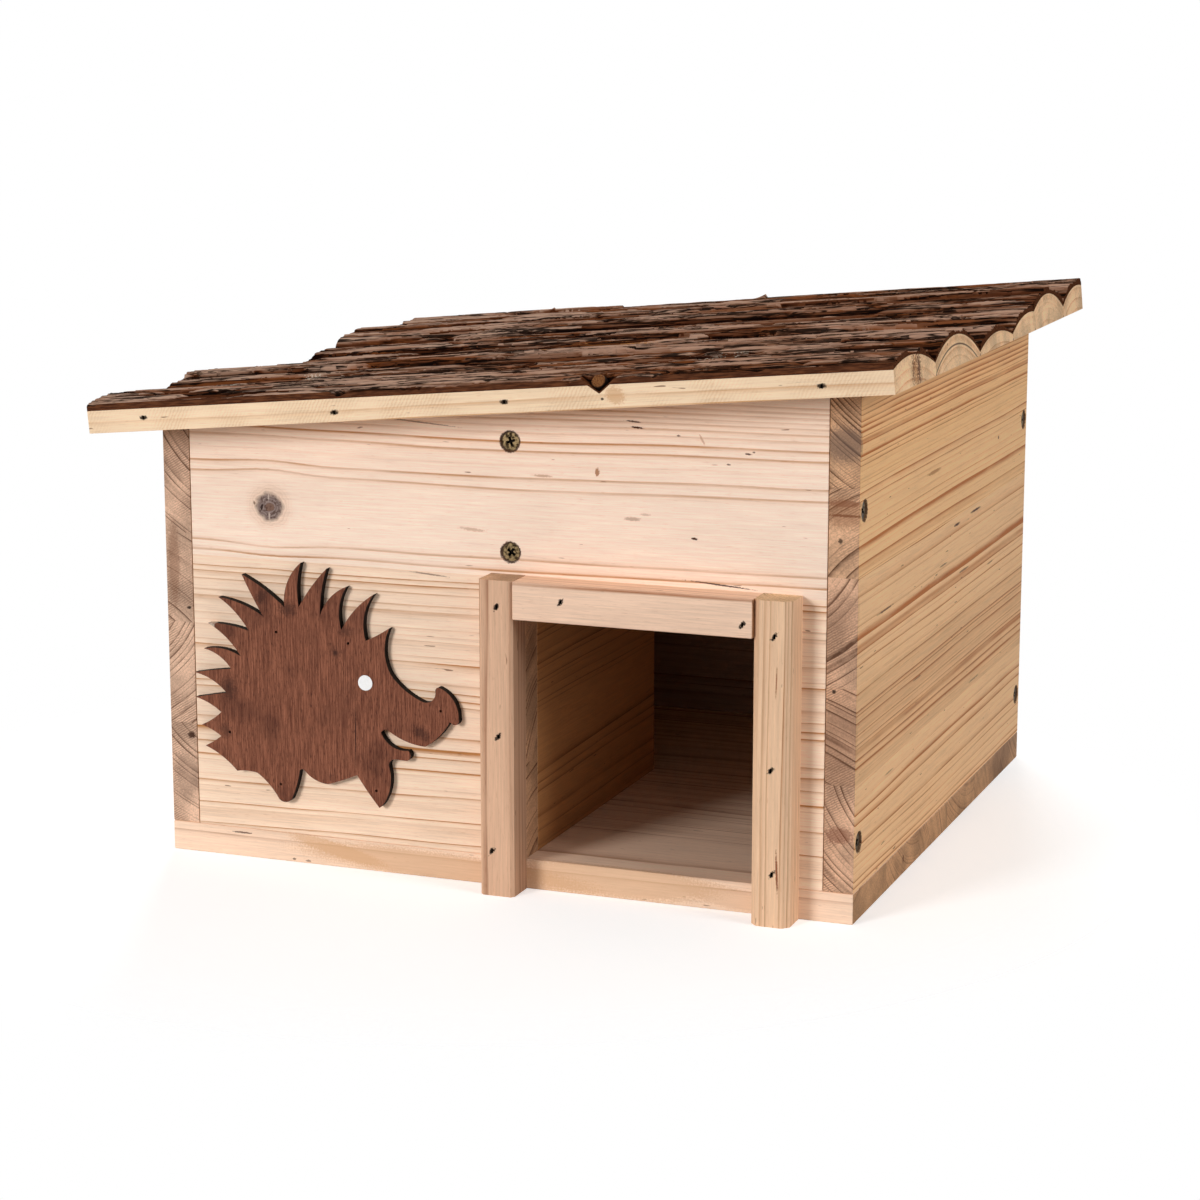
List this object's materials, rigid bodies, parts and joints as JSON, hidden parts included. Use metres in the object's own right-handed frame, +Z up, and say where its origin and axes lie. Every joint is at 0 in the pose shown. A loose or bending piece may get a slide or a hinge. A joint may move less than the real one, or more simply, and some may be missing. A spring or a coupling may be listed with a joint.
{
  "type": "hedgehog house",
  "caption": "Low wooden box shelter with a framed doorway, an inner partition, a hedgehog cut-out and a hinged sloping lid of bark-faced slabs.",
  "frame": {"origin": "middle of the base board's underside", "axes": "+Z up; -Y is the front with the doorway; +X to the right as seen from the front, the lid's high side"},
  "size_m": [0.4102, 0.398, 0.2766],
  "materials": {
    "base_board": "planed pine, bare",
    "front_board": "planed fir, bare",
    "side_board": "planed pine, bare",
    "inner_board": "planed pine, bare",
    "frame_wood": "sawn pine strip, bare",
    "batten_wood": "sawn pine strip, bare",
    "slab_wood": "sawn slab, bare",
    "bark": "rough conifer bark",
    "stained_plywood": "dark brown stain, matt",
    "eye_white": "matt white",
    "yellow_zinc": "yellow zinc plate",
    "dark_steel": "dark steel",
    "hinge_steel": "zinc plate"
  },
  "bodies": {
    "house": {"base_panel": "base_board", "front_panel": "front_board", "back_panel": "front_board", "left_side_panel": "side_board", "right_side_panel": "side_board", "partition_panel": "inner_board", "left_door_post": "frame_wood", "right_door_post": "frame_wood", "door_lintel": "frame_wood", "hedgehog_figure": "stained_plywood", "hedgehog_eye": "eye_white", "left_hinge_wall_leaf": "hinge_steel", "right_hinge_wall_leaf": "hinge_steel", "left_hinge_pin": "hinge_steel", "right_hinge_pin": "hinge_steel", "front_screws": "yellow_zinc", "left_side_screws": "yellow_zinc", "right_side_screws": "yellow_zinc", "base_screws": "yellow_zinc", "door_frame_brads": "dark_steel", "figure_pins": "dark_steel", "hinge_wall_screws": "hinge_steel"},
    "roof": {"roof_slab_1": "slab_wood", "roof_slab_2": "slab_wood", "roof_slab_3": "slab_wood", "roof_slab_4": "slab_wood", "roof_slab_5": "slab_wood", "roof_slab_6": "slab_wood", "roof_bark_1": "bark", "roof_bark_2": "bark", "roof_bark_3": "bark", "roof_bark_4": "bark", "roof_bark_5": "bark", "roof_bark_6": "bark", "left_roof_batten": "batten_wood", "right_roof_batten": "batten_wood", "left_hinge_roof_leaf": "hinge_steel", "right_hinge_roof_leaf": "hinge_steel", "roof_edge_brads": "dark_steel", "batten_screws": "yellow_zinc", "hinge_roof_screws": "hinge_steel"}
  },
  "joints": [
    {"name": "roof_hinge", "type": "hinge", "parent": "house", "child": "roof", "pos_m": [0.00029, 0.1721, 0.23361], "axis": [-0.9956, 0, -0.0938], "range_deg": [0, 98]}
  ]
}
